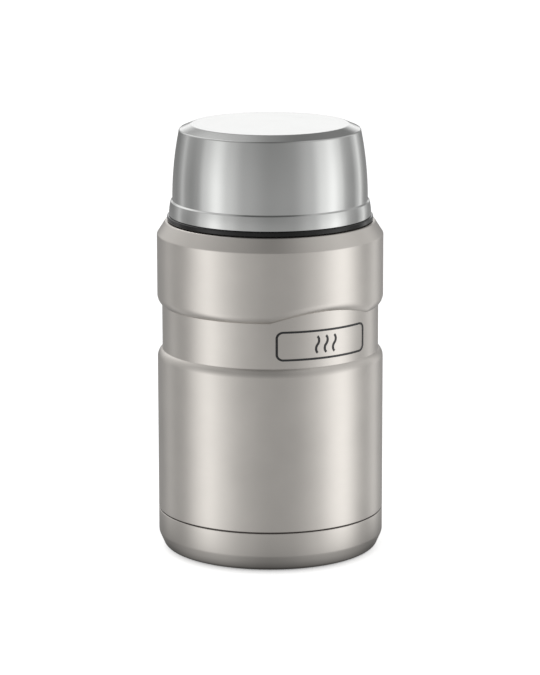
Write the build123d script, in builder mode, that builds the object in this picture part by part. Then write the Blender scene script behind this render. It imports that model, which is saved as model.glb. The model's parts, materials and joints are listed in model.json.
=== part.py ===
"""Insulated food jar: a vacuum jar, its screw-in stopper and a screw-on cup.

Millimetres, +Z up. The origin is on the floor, under the centre of the foot, and the badge faces
-Y. Both threads are right handed and share one lead, so a lid rises by that lead in each turn.
Profiles are drawn in the XZ plane, as radius and height, and turned about Z.
"""
from build123d import *
import os

# Jar, outside
body_diameter = 99.0
shell_wall = 0.6
foot_bevel_width = 2.9
foot_rim_width = 8.1
foot_recess_height = 1.2
foot_edge_radius = 3.0
foot_recess_edge_radius = 1.2
foot_bevel_height = 6.6
foot_bevel_radius = 3.0
base_height = 17.2
base_fit = 0.1
skirt_rise = 1.3
seam_gap = 0.5
sealant_recess = 0.2
lower_body_height = 70.1
waist_depth = 2.1
waist_blend_height = 1.5
body_edge_radius = 4.5
waist_edge_radius = 0.4
waist_height = 19.9
band_height = 30.8
band_edge_height = 1.5
band_edge_radius = 4.2
band_ledge_width = 0.2
shoulder_height = 5.6
shoulder_inset = 3.8
shoulder_edge_radius = 1.0

# Arch that lifts the band's lower edge over the badge
arch_width = 47.5
arch_rise = 4.2
arch_knee_radius = 6.0

# Badge: a plain enamel line around three wavy lines
badge_width = 44.0
badge_height = 13.0
badge_corner_radius = 3.0
badge_line_width = 0.9
enamel_thickness = 0.12
wave_count = 3
wave_spacing = 4.2
wave_height = 7.2
wave_bend_radius = 2.6
wave_line_width = 1.0

# Neck
neck_thickness = 2.2
neck_height = 17.4
lip_edge_radius = 0.6

# Threads of the cup and the stopper
thread_lead = 12.0
thread_starts = 3
thread_sweep = 150.0
thread_height = 1.1
thread_clearance = 0.3
thread_root_width = 2.3
thread_crest_width = 1.2
thread_sink = 0.25
neck_thread_start = 5.0

# Vacuum vessel
vessel_wall = 0.5
vacuum_gap = 3.3
well_floor = 15.0
well_corner_radius = 12.0
vessel_base_height = 15.0
vessel_shoulder_height = 12.5
vessel_shoulder_radius = 8.0
throat_edge_radius = 2.0
throat_height = 3.5
seat_depth = 15.0
seat_width = 3.5
foil_thickness = 0.2
foil_fit = 0.1
foil_margin = 4.0

# Vacuum bottom, its port and the getter
plate_wall = 0.6
plate_height = 4.5
plate_edge_radius = 2.0
plate_fit = 0.05
port_diameter = 2.0
port_boss_diameter = 12.0
port_boss_height = 1.4
port_bead_diameter = 5.0
port_bead_height = 1.0
getter_diameter = 10.0
getter_height = 2.4
getter_offset = 20.0
clip_wall = 0.3
clip_flange_width = 2.5

# Stopper
plug_length = 6.0
plug_wall = 1.6
plug_clearance = 0.3
plug_cap_height = 1.5
spigot_height = 1.2
spigot_fit = 0.1
foam_fit = 0.3
gasket_height = 2.0
gasket_fit = 0.15
flange_clearance = 0.7
flange_height = 2.0
flange_gap = 0.3
grip_height = 3.2
grip_rim_width = 5.0
grip_floor_height = 1.0
grip_edge_radius = 0.6
grip_bar_width = 13.0
grip_bar_height = 2.6
grip_bar_radius = 1.5
flute_count = 36
flute_diameter = 3.2
flute_depth = 0.7

# Cup
cup_wall = 0.5
cup_skirt_height = 7.1
cup_skirt_inset = 0.75
cup_step_width = 0.75
cup_step_height = 0.3
cup_side_height = 30.3
cup_side_lean = 3.1
cup_edge_radius = 1.6
cup_top_inset = 5.35
cup_top_height = 2.3
cup_top_edge_radius = 2.5
rim_gap = 0.5
rim_overhang = 0.8
rim_setback = 0.75
rim_wall = 1.55
rim_flange_height = 2.1
rim_edge_radius = 0.5
rim_height = 15.4
rim_fit = 0.3
bowl_wall = 0.5
bowl_fit = 0.1
bowl_seat_depth = 2.5
bowl_side_lean = 2.3
bowl_corner_radius = 6.0
bowl_air_gap = 2.5
bond_ring_level = 11.0
bond_ring_height = 1.4
bond_ring_width = 0.9
bond_ring_fit = 0.1
cup_seal_height = 1.3
cup_seal_width = 2.0
cup_seal_inset = 1.2
cup_seal_fit = 0.1

# Radii, worked out from the body inwards
body_radius = body_diameter / 2
waist_radius = body_radius - waist_depth
shoulder_radius = body_radius - shoulder_inset
foot_radius = body_radius - foot_bevel_width
foot_recess_radius = foot_radius - foot_rim_width
skirt_radius = body_radius - shell_wall - base_fit
plate_radius = skirt_radius - shell_wall - plate_fit
vessel_radius = waist_radius - shell_wall - vacuum_gap - vessel_wall
foil_radius = vessel_radius + vessel_wall + foil_fit
rim_radius = shoulder_radius - rim_setback
cup_mouth_radius = rim_radius - rim_overhang
cup_skirt_radius = cup_mouth_radius - cup_skirt_inset
cup_side_radius = cup_skirt_radius - cup_step_width
cup_side_bore = cup_side_radius - cup_wall
cup_shoulder_radius = cup_side_radius - cup_side_lean
cup_top_radius = cup_shoulder_radius - cup_top_inset
rim_neck_radius = cup_side_bore - rim_fit
rim_bore = rim_neck_radius - rim_wall
bowl_radius = rim_bore + bowl_fit
bowl_seat_radius = bowl_radius + bowl_wall + bowl_fit
bond_ring_radius = cup_side_bore - bond_ring_fit
seal_radius = rim_radius - cup_seal_inset
seal_bore = seal_radius - cup_seal_width
neck_radius = rim_bore - thread_height - thread_clearance
mouth_radius = neck_radius - neck_thickness
throat_radius = mouth_radius - seat_width
stopper_radius = mouth_radius - thread_height - thread_clearance
flange_radius = rim_bore - thread_height - flange_clearance
plug_radius = throat_radius - plug_clearance
plug_bore = plug_radius - plug_wall
spigot_radius = plug_bore - spigot_fit

# Levels above the floor, worked out from the bottom up
seam_level = base_height + seam_gap
skirt_bottom = foot_bevel_height + skirt_rise
waist_start = seam_level + lower_body_height
waist_bottom = waist_start + waist_blend_height
waist_middle = waist_bottom + waist_height / 2
band_bottom = waist_bottom + waist_height
band_middle = band_bottom + band_height / 2
band_top = band_bottom + band_height
shoulder_top = band_top + shoulder_height
lip_level = shoulder_top + neck_height
vessel_bottom = well_floor - vessel_wall
vessel_seam = well_floor + vessel_base_height
seat_level = lip_level - seat_depth
throat_bottom = seat_level - throat_height
vessel_shoulder = throat_bottom - vessel_shoulder_height
port_level = skirt_bottom + port_boss_height
clip_bottom = vessel_bottom - getter_height - clip_wall
gasket_top = seat_level + gasket_height
plug_bottom = seat_level - plug_length
stopper_bottom = plug_bottom + plug_cap_height
foam_bottom = stopper_bottom + spigot_height
flange_bottom = lip_level + flange_gap
flange_top = flange_bottom + flange_height
foam_top = flange_top - spigot_height
grip_floor = flange_top + grip_floor_height
grip_top = flange_top + grip_height
rim_bottom = shoulder_top + rim_gap
cup_bottom = rim_bottom + rim_flange_height
rim_top = rim_bottom + rim_height
bowl_bottom = rim_top - bowl_seat_depth
cup_step = cup_bottom + cup_skirt_height
cup_side_bottom = cup_step + cup_step_height
cup_shoulder = cup_side_bottom + cup_side_height
cup_top = cup_shoulder + cup_top_height
bowl_floor = cup_top - cup_wall - bowl_air_gap - bowl_wall
bond_ring_bottom = rim_bottom + bond_ring_level
seal_top = shoulder_top + cup_seal_height

# Threads: rise of one ridge, and the level where each set of ridges starts
thread_rise = thread_lead * thread_sweep / 360
half_spacing = thread_lead / thread_starts / 2
neck_thread_level = shoulder_top + neck_thread_start
cup_thread_level = neck_thread_level - half_spacing
stopper_thread_level = gasket_top + thread_root_width / 2 + thread_clearance
mouth_thread_level = stopper_thread_level + half_spacing


def thread_ridges(root_radius, outwards, start_level):
    """Ridges of one thread, one for each start, on a wall of root_radius.

    outwards is 1 for ridges on the outside of a wall and -1 for ridges inside a bore.
    """
    with BuildPart() as ridge:
        path = Helix(
            pitch=thread_lead,
            height=thread_rise,
            radius=root_radius,
            center=(0, 0, start_level),
        )
        sunk = -outwards * thread_sink
        crest = outwards * thread_height
        with BuildSketch(Plane(origin=path @ 0, x_dir=(1, 0, 0), z_dir=path % 0)):
            with BuildLine():
                Polyline(
                    (sunk, -thread_root_width / 2),
                    (crest, -thread_crest_width / 2),
                    (crest, thread_crest_width / 2),
                    (sunk, thread_root_width / 2),
                    close=True,
                )
            make_face()
        sweep(path=path, is_frenet=True)
    with BuildPart() as ridges:
        with PolarLocations(0, thread_starts):
            add(ridge.part)
    return ridges.part


def band_form(inset):
    """Solid from mid-waist to mid-band, set in from the outside of the shell by inset.

    The step under the band follows the arch at the front and is level at the back.
    """
    reach = body_radius + shell_wall
    band_radius = body_radius - inset
    with BuildPart() as form:
        with BuildSketch(Plane.XZ) as front:
            with BuildLine():
                Line((-reach, band_bottom), (-arch_width / 2, band_bottom))
                ThreePointArc(
                    (-arch_width / 2, band_bottom),
                    (0, band_bottom + arch_rise),
                    (arch_width / 2, band_bottom),
                )
                Polyline(
                    (arch_width / 2, band_bottom),
                    (reach, band_bottom),
                    (reach, band_middle + inset),
                    (-reach, band_middle + inset),
                    (-reach, band_bottom),
                )
            make_face()
            knees = front.vertices().group_by(Axis.Y)[0].sort_by(Axis.X)[1:-1]
            fillet(knees, arch_knee_radius)
            if inset > 0:
                offset(amount=-inset)
        extrude(amount=reach)
        with BuildSketch(Plane.XZ):
            with Locations((0, band_bottom + inset)):
                Rectangle(
                    2 * reach,
                    band_middle - band_bottom - inset,
                    align=(Align.CENTER, Align.MIN),
                )
        extrude(amount=-reach)
        with BuildSketch(Plane.XY.offset(band_bottom)):
            Circle(band_radius)
        extrude(amount=band_middle - band_bottom, mode=Mode.INTERSECT)
        with BuildSketch(Plane.XY.offset(waist_middle)):
            Circle(band_radius - waist_depth)
        extrude(amount=band_middle - waist_middle)
        wall, foot = band_wall_and_foot(form)
        chamfer(
            foot,
            length=band_edge_height,
            length2=waist_depth - band_ledge_width,
            reference=wall,
        )
        wall, foot = band_wall_and_foot(form)
        fillet(foot, band_edge_radius)
    return form.part


def band_wall_and_foot(form):
    """The band's outer wall and the edges that run around its foot."""
    wall = form.faces().filter_by(GeomType.CYLINDER).sort_by(SortBy.AREA)[-1]
    curved = wall.edges().filter_by(GeomType.LINE, reverse=True)
    return wall, curved.filter_by_position(Axis.Z, band_bottom, band_middle - shell_wall)


os.makedirs("parts", exist_ok=True)

# Steel cup that closes the foot of the jar
with BuildPart() as base_cup:
    with BuildSketch(Plane.XZ):
        with BuildLine():
            FilletPolyline(
                (0, foot_recess_height),
                (foot_recess_radius - foot_recess_height, foot_recess_height),
                (foot_recess_radius, 0),
                (foot_radius, 0),
                (body_radius, foot_bevel_height),
                (body_radius, base_height),
                radius=[foot_recess_edge_radius] * 2 + [foot_edge_radius, foot_bevel_radius],
            )
            offset(amount=shell_wall, side=Side.LEFT)
        make_face()
    revolve(axis=Axis.Z)
base_cup.part.label = "base_cup"
export_step(base_cup.part, "parts/base_cup.step")

# Sealant in the seam between the base cup and the shell
with BuildPart() as seam_sealant:
    with BuildSketch(Plane.XY.offset(base_height)):
        Circle(body_radius - sealant_recess)
        Circle(skirt_radius, mode=Mode.SUBTRACT)
    extrude(amount=seam_gap)
seam_sealant.part.label = "seam_sealant"
export_step(seam_sealant.part, "parts/seam_sealant.step")

# Outer shell: skirt inside the base cup, waist, band with its arch, shoulder and threaded neck
with BuildPart() as outer_shell:
    with BuildSketch(Plane.XZ):
        with BuildLine():
            skirt = Polyline(
                (skirt_radius, skirt_bottom), (skirt_radius, seam_level), (body_radius, seam_level)
            )
            FilletPolyline(
                skirt @ 1,
                (body_radius, waist_start),
                (waist_radius, waist_bottom),
                (waist_radius, waist_middle),
                radius=[body_edge_radius, waist_edge_radius],
            )
            offset(amount=shell_wall, side=Side.LEFT)
        make_face()
    revolve(axis=Axis.Z)
    with BuildSketch(Plane.XZ):
        with BuildLine():
            FilletPolyline(
                (body_radius, band_middle),
                (body_radius, band_top),
                (shoulder_radius, shoulder_top),
                (neck_radius, shoulder_top),
                (neck_radius, lip_level - vessel_wall),
                radius=shoulder_edge_radius,
            )
            offset(amount=shell_wall, side=Side.LEFT)
        make_face()
    revolve(axis=Axis.Z)
    add(band_form(0))
    add(band_form(shell_wall), mode=Mode.SUBTRACT)
    add(thread_ridges(neck_radius, 1, neck_thread_level))
outer_shell.part.label = "outer_shell"
export_step(outer_shell.part, "parts/outer_shell.step")

# Inner vessel: food well, seat for the gasket, threaded mouth and rolled lip
with BuildPart() as inner_vessel:
    with BuildSketch(Plane.XZ):
        with BuildLine():
            FilletPolyline(
                (vessel_radius, vessel_seam),
                (vessel_radius, vessel_shoulder),
                (throat_radius, throat_bottom),
                (throat_radius, seat_level),
                (mouth_radius, seat_level),
                (mouth_radius, lip_level),
                (neck_radius, lip_level),
                radius=[vessel_shoulder_radius, throat_edge_radius] + [lip_edge_radius] * 3,
            )
            offset(amount=vessel_wall, side=Side.RIGHT)
        make_face()
    revolve(axis=Axis.Z)
    add(thread_ridges(mouth_radius, -1, mouth_thread_level))
inner_vessel.part.label = "inner_vessel"
export_step(inner_vessel.part, "parts/inner_vessel.step")

# Dished bottom of the vessel, welded on under its wall
with BuildPart() as vessel_base:
    with BuildSketch(Plane.XZ):
        with BuildLine():
            FilletPolyline(
                (0, well_floor),
                (vessel_radius, well_floor),
                (vessel_radius, vessel_seam),
                radius=well_corner_radius,
            )
            offset(amount=vessel_wall, side=Side.RIGHT)
        make_face()
    revolve(axis=Axis.Z)
vessel_base.part.label = "vessel_base"
export_step(vessel_base.part, "parts/vessel_base.step")

# Foil around the vessel, in the vacuum
with BuildPart() as radiation_foil:
    with BuildSketch(Plane.XY.offset(vessel_seam + foil_margin)):
        Circle(foil_radius + foil_thickness)
        Circle(foil_radius, mode=Mode.SUBTRACT)
    extrude(amount=vessel_shoulder - vessel_seam - 2 * foil_margin)
radiation_foil.part.label = "radiation_foil"
export_step(radiation_foil.part, "parts/radiation_foil.step")

# Bottom plate that closes the vacuum, with a raised boss around its port
with BuildPart() as vacuum_plate:
    with BuildSketch(Plane.XZ):
        with BuildLine():
            FilletPolyline(
                (port_diameter / 2, port_level),
                (port_boss_diameter / 2, port_level),
                (port_boss_diameter / 2 + port_boss_height, skirt_bottom),
                (plate_radius, skirt_bottom),
                (plate_radius, skirt_bottom + plate_height),
                radius=[port_boss_height / 2] * 2 + [plate_edge_radius],
            )
            offset(amount=plate_wall, side=Side.LEFT)
        make_face()
    revolve(axis=Axis.Z)
vacuum_plate.part.label = "vacuum_plate"
export_step(vacuum_plate.part, "parts/vacuum_plate.step")

# Bead that seals the port from below
with BuildPart() as port_seal:
    with BuildSketch(Plane.XY.offset(port_level - port_bead_height)):
        Circle(port_bead_diameter / 2)
    extrude(amount=port_bead_height)
port_seal.part.label = "port_seal"
export_step(port_seal.part, "parts/port_seal.step")

# Clip under the vessel that holds the getter
with BuildPart() as getter_clip:
    with BuildSketch(Plane.XY.offset(clip_bottom)):
        with Locations((getter_offset, 0)):
            Circle(getter_diameter / 2 + clip_wall)
    extrude(amount=vessel_bottom - clip_bottom)
    with BuildSketch(Plane.XY.offset(vessel_bottom - clip_wall)):
        with Locations((getter_offset, 0)):
            Circle(getter_diameter / 2 + clip_flange_width)
    extrude(amount=clip_wall)
    with BuildSketch(Plane.XY.offset(clip_bottom + clip_wall)):
        with Locations((getter_offset, 0)):
            Circle(getter_diameter / 2)
    extrude(amount=getter_height, mode=Mode.SUBTRACT)
getter_clip.part.label = "getter_clip"
export_step(getter_clip.part, "parts/getter_clip.step")

# Getter that takes up stray gas
with BuildPart() as getter:
    with BuildSketch(Plane.XY.offset(clip_bottom + clip_wall)):
        with Locations((getter_offset, 0)):
            Circle(getter_diameter / 2)
    extrude(amount=getter_height)
getter.part.label = "getter"
export_step(getter.part, "parts/getter.step")

# Badge line, wrapped on the waist
with BuildPart() as badge_line:
    with BuildSketch(Plane.XZ):
        with Locations((0, waist_middle)):
            RectangleRounded(badge_width, badge_height, badge_corner_radius)
            RectangleRounded(
                badge_width - 2 * badge_line_width,
                badge_height - 2 * badge_line_width,
                badge_corner_radius - badge_line_width,
                mode=Mode.SUBTRACT,
            )
    extrude(amount=body_radius)
    with BuildSketch(Plane.XY.offset(waist_bottom)):
        Circle(waist_radius + enamel_thickness)
        Circle(waist_radius, mode=Mode.SUBTRACT)
    extrude(amount=waist_height, mode=Mode.INTERSECT)
badge_line.part.label = "badge_line"
export_step(badge_line.part, "parts/badge_line.step")

# Wavy lines inside the badge line
with BuildSketch() as wave:
    with BuildLine() as wave_line:
        RadiusArc((0, -wave_height / 2), (0, 0), wave_bend_radius)
        RadiusArc((0, 0), (0, wave_height / 2), -wave_bend_radius)
    trace(wave_line.line, wave_line_width)
with BuildPart() as badge_waves:
    with BuildSketch(Plane.XZ):
        with Locations((0, waist_middle)):
            with GridLocations(wave_spacing, 0, wave_count, 1):
                add(wave.sketch)
    extrude(amount=body_radius)
    with BuildSketch(Plane.XY.offset(waist_bottom)):
        Circle(waist_radius + enamel_thickness)
        Circle(waist_radius, mode=Mode.SUBTRACT)
    extrude(amount=waist_height, mode=Mode.INTERSECT)
badge_waves.part.label = "badge_waves"
export_step(badge_waves.part, "parts/badge_waves.step")

# Stopper body: plug, threaded wall and the flange over the lip
with BuildPart() as stopper_body:
    with BuildSketch(Plane.XZ):
        with BuildLine():
            Polyline(
                (plug_bore, stopper_bottom),
                (plug_radius, stopper_bottom),
                (plug_radius, gasket_top),
                (stopper_radius, gasket_top),
                (stopper_radius, flange_bottom),
                (flange_radius, flange_bottom),
                (flange_radius, flange_top),
                (plug_bore, flange_top),
                close=True,
            )
        make_face()
    revolve(axis=Axis.Z)
    add(thread_ridges(stopper_radius, 1, stopper_thread_level))
stopper_body.part.label = "stopper_body"
export_step(stopper_body.part, "parts/stopper_body.step")

# Cap under the plug, with a spigot in its bore
with BuildPart() as plug_cap:
    with BuildSketch(Plane.XY.offset(plug_bottom)):
        Circle(plug_radius)
    extrude(amount=plug_cap_height)
    with BuildSketch(Plane.XY.offset(stopper_bottom)):
        Circle(spigot_radius)
    extrude(amount=spigot_height)
    fillet(plug_cap.edges().group_by(Axis.Z)[0], grip_edge_radius)
plug_cap.part.label = "plug_cap"
export_step(plug_cap.part, "parts/plug_cap.step")

# Foam inside the stopper
with BuildPart() as stopper_foam:
    with BuildSketch(Plane.XY.offset(foam_bottom)):
        Circle(plug_bore - foam_fit)
    extrude(amount=foam_top - foam_bottom)
stopper_foam.part.label = "stopper_foam"
export_step(stopper_foam.part, "parts/stopper_foam.step")

# Grip on top of the stopper: fluted rim, finger recess and a bar across it
with BuildPart() as stopper_grip:
    with BuildSketch(Plane.XY.offset(flange_top)):
        Circle(flange_radius)
        with PolarLocations(flange_radius + flute_diameter / 2 - flute_depth, flute_count):
            Circle(flute_diameter / 2, mode=Mode.SUBTRACT)
    extrude(amount=grip_height)
    with BuildSketch(Plane.XY.offset(grip_floor)):
        Circle(flange_radius - grip_rim_width)
    extrude(amount=grip_top - grip_floor, mode=Mode.SUBTRACT)
    with BuildSketch(Plane.XY.offset(grip_floor)):
        SlotOverall(2 * (flange_radius - grip_rim_width), grip_bar_width)
    extrude(amount=grip_top - grip_floor + grip_bar_height)
    fillet(stopper_grip.edges().group_by(Axis.Z)[-1], grip_bar_radius)
    with BuildSketch(Plane.XY.offset(foam_top)):
        Circle(spigot_radius)
    extrude(amount=spigot_height)
stopper_grip.part.label = "stopper_grip"
export_step(stopper_grip.part, "parts/stopper_grip.step")

# Gasket between the stopper and the seat in the mouth
with BuildPart() as stopper_gasket:
    with BuildSketch(Plane.XY.offset(seat_level)):
        Circle(stopper_radius)
        Circle(plug_radius + gasket_fit, mode=Mode.SUBTRACT)
    extrude(amount=gasket_height)
stopper_gasket.part.label = "stopper_gasket"
export_step(stopper_gasket.part, "parts/stopper_gasket.step")

# Outer shell of the cup
with BuildPart() as cup_shell:
    with BuildSketch(Plane.XZ):
        with BuildLine() as profile:
            TangentArc(
                (cup_mouth_radius, cup_bottom), (cup_skirt_radius, cup_step), tangent=(0, 1)
            )
            Line((cup_skirt_radius, cup_step), (cup_side_radius, cup_side_bottom))
            TangentArc(
                (cup_side_radius, cup_side_bottom),
                (cup_shoulder_radius, cup_shoulder),
                tangent=(0, 1),
            )
            Polyline((cup_shoulder_radius, cup_shoulder), (cup_top_radius, cup_top), (0, cup_top))
            fillet(profile.vertices().sort_by(Axis.Y)[-3], cup_edge_radius)
            fillet(profile.vertices().sort_by(Axis.X)[1], cup_top_edge_radius)
            offset(amount=cup_wall, side=Side.LEFT)
        make_face()
    revolve(axis=Axis.Z)
cup_shell.part.label = "cup_shell"
export_step(cup_shell.part, "parts/cup_shell.step")

# Black rim of the cup: flange, threaded bore and the seats of bowl, bond ring and seal
with BuildPart() as cup_rim:
    with BuildSketch(Plane.XZ):
        with BuildLine():
            Polyline(
                (rim_bore, rim_bottom),
                (rim_radius, rim_bottom),
                (rim_radius, cup_bottom),
                (rim_neck_radius, cup_bottom),
                (rim_neck_radius, rim_top),
                (bowl_seat_radius, rim_top),
                (bowl_seat_radius, bowl_bottom),
                (rim_bore, bowl_bottom),
                close=True,
            )
        make_face()
    revolve(axis=Axis.Z)
    flange = cup_rim.faces().filter_by(GeomType.CYLINDER).sort_by(SortBy.RADIUS)[-1]
    fillet(flange.edges().filter_by(GeomType.CIRCLE), rim_edge_radius)
    with BuildSketch(Plane.XY.offset(rim_bottom)):
        Circle(seal_radius + cup_seal_fit)
        Circle(seal_bore - cup_seal_fit, mode=Mode.SUBTRACT)
    extrude(amount=seal_top - rim_bottom, mode=Mode.SUBTRACT)
    with BuildSketch(Plane.XY.offset(bond_ring_bottom)):
        Circle(bond_ring_radius)
        Circle(bond_ring_radius - bond_ring_width, mode=Mode.SUBTRACT)
    extrude(amount=bond_ring_height, mode=Mode.SUBTRACT)
    add(thread_ridges(rim_bore, -1, cup_thread_level))
cup_rim.part.label = "cup_rim"
export_step(cup_rim.part, "parts/cup_rim.step")

# Ring that seals the rim against the cup's shell
with BuildPart() as bond_ring:
    with BuildSketch(Plane.XY.offset(bond_ring_bottom)):
        Circle(bond_ring_radius)
        Circle(bond_ring_radius - bond_ring_width, mode=Mode.SUBTRACT)
    extrude(amount=bond_ring_height)
bond_ring.part.label = "bond_ring"
export_step(bond_ring.part, "parts/bond_ring.step")

# Bowl inside the cup, with an air gap to the shell
with BuildPart() as cup_bowl:
    with BuildSketch(Plane.XZ):
        with BuildLine() as profile:
            TangentArc(
                (bowl_radius, bowl_bottom), (bowl_radius - bowl_side_lean, bowl_floor), tangent=(0, 1)
            )
            Line((bowl_radius - bowl_side_lean, bowl_floor), (0, bowl_floor))
            fillet(profile.vertices().sort_by(Axis.X)[1], bowl_corner_radius)
            offset(amount=bowl_wall, side=Side.RIGHT)
        make_face()
    revolve(axis=Axis.Z)
cup_bowl.part.label = "cup_bowl"
export_step(cup_bowl.part, "parts/cup_bowl.step")

# Seal between the cup's rim and the jar's shoulder
with BuildPart() as cup_seal:
    with BuildSketch(Plane.XY.offset(shoulder_top)):
        Circle(seal_radius)
        Circle(seal_bore, mode=Mode.SUBTRACT)
    extrude(amount=cup_seal_height)
cup_seal.part.label = "cup_seal"
export_step(cup_seal.part, "parts/cup_seal.step")
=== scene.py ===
"""Insulated food jar: looks of the vacuum jar, its screw-in stopper and its screw-on cup.

Metres, +Z up, the origin on the floor under the centre of the foot. The badge faces -Y.
Turned pieces are drawn as a line of (radius, height) corners, rounded, and spun about Z.
"""

import json
import math

import bpy
from bpy.props import (
    FloatProperty,
    FloatVectorProperty,
    IntProperty,
    PointerProperty,
)
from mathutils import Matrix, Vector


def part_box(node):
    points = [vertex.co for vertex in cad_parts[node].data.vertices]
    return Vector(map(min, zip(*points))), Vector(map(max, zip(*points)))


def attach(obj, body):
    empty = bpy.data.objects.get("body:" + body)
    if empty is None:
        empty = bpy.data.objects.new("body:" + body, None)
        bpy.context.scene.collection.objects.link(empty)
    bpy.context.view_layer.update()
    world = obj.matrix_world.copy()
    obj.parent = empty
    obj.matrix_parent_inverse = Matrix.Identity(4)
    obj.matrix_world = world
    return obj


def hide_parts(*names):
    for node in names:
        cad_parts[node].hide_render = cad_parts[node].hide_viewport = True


bl_info = {
    "name": "Insulated food jar",
    "version": (1, 0, 0),
    "blender": (4, 5, 0),
    "location": "View3D > Sidebar > Food jar",
    "description": "Models and finishes a steel food jar with a stopper and a cup",
    "category": "Add Mesh",
}

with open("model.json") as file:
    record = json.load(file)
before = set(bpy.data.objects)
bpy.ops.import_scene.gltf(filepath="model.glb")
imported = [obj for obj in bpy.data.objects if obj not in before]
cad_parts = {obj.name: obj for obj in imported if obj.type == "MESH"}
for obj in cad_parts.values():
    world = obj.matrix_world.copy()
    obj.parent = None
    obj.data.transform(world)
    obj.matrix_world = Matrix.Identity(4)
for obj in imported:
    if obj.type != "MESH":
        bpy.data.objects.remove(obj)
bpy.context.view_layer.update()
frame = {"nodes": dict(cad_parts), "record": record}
FOOT_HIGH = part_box("base_cup")[1]
SHELL_LOW, SHELL_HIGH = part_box("outer_shell")
VESSEL_LOW, VESSEL_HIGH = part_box("inner_vessel")
CUP_LOW, CUP_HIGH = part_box("cup_shell")
RIM_LOW, RIM_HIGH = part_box("cup_rim")
BOWL_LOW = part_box("cup_bowl")[0]
BODY_LOW, BODY_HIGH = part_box("stopper_body")
GRIP_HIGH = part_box("stopper_grip")[1]
CAP_LOW, CAP_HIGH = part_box("plug_cap")
GASKET_LOW, GASKET_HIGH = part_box("stopper_gasket")
SEAL_LOW, SEAL_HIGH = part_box("cup_seal")

# Faces round a spun piece and along a ridge
PLAIN_STEPS = 256
BASE_STEPS = 288
OUTER_STEPS = 320
RIDGE_STEPS = 48

# How close counts as the same place, the same level or the same wall, and what stays sharp
SAME_PLACE = 2e-6
SAME_LEVEL = 1e-6
SAME_WALL = 1e-5
SHARP_EDGE = math.radians(38)

# Small fits, widths and roundings
HEM_RADIUS = 0.00035
HEM_SEGMENTS = 3
RIDGE_ROUNDING = 0.00025
RIDGE_TAPER = (0.12, 0.12, 0.4)
SHELL_ROW = 0.0024
SPIGOT_FIT = 0.0001
SPIGOT_HEIGHT = 0.0012
GASKET_FIT = 0.00015
SEAL_FIT = 0.0001
SEAL_WIDTH = 0.002

# Place and turn of the camera, and the turn about Z that brings its side round to +X
CAMERA_PLACE = (-0.7263, -1.2422, 0.407)
CAMERA_TURN = tuple(math.radians(angle) for angle in (77.69, 0.09, -30.329))
CAMERA_BEARING = math.radians(120.3)

# Light on the floor, as two levels and the distances between which one turns to the other. The
# low levels round the foot paint a shadow on the floor and paint shade into the floor's painted
# reflection
# Painted shadow: middle and levels of the floor's lower light round the foot, set a little
# towards the camera
PAINTED_SHADOW_MIDDLE = (-0.003, -0.0052, 0.0)
FLOOR_GLOW_AND_PAINTED_SHADOW = (0.3, 0.64, 0.039, 0.0475)
# Painted shade and reach of the floor's painted reflection: nearly dark at the foot, gone
# further out
PAINTED_REFLECTION_SHADE = (0.02, 1.0, 0.045, 0.0515)
PAINTED_REFLECTION_EDGE = (0.0, 1.0, 0.056, 0.1)

# Levels of light round the jar, as (angle from the camera's side, level); the first table is a
# painted reflection in the floor, the others are the surround's panels
# fmt: off
# Painted reflection round the foot, with painted highlights towards the two lit sides
PAINTED_REFLECTION_POOL = (
    (-180, 0.22), (-75, 0.22), (-34, 0.5), (0, 0.26), (38, 0.46), (75, 0.22), (180, 0.22),
)
LOW_PANELS = (
    (-180, 0.2), (-158, 0.22), (-145, 0.3), (-134, 0.45), (-126, 0.74), (-117, 0.45),
    (-106, 0.38), (-95, 0.47), (-84, 0.93), (-66, 1.45), (-50, 0.93), (-30, 0.59), (0, 0.44),
    (24, 0.46), (50, 0.74), (65, 1.22), (80, 1.58), (92, 1.12), (101, 0.6), (108, 0.48),
    (116, 0.42), (126, 0.75), (133, 1.15), (141, 0.6), (152, 0.35), (166, 0.25), (180, 0.2),
)
HIGH_PANELS = (
    (-180, 0.35), (-165, 0.65), (-158, 0.95), (-150, 1.7), (-143, 1.5), (-134, 0.95),
    (-119, 0.74), (-96, 0.62), (-65, 0.48), (-48, 0.43), (-30, 0.34), (0, 0.24), (12, 0.25),
    (30, 0.35), (50, 0.52), (65, 0.63), (96, 0.78), (119, 0.7), (140, 0.55), (159, 0.3),
    (167, 0.25), (180, 0.35),
)
# fmt: on


def length(name, default, description):
    """A length that a user can change."""
    return FloatProperty(
        name=name, description=description, default=default, min=0.0, unit="LENGTH", precision=5
    )


def colour(name, default, description):
    """A colour that a user can change."""
    return FloatVectorProperty(
        name=name, description=description, default=default, min=0.0, max=1.0, subtype="COLOR"
    )


# Sizes and colours


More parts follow.
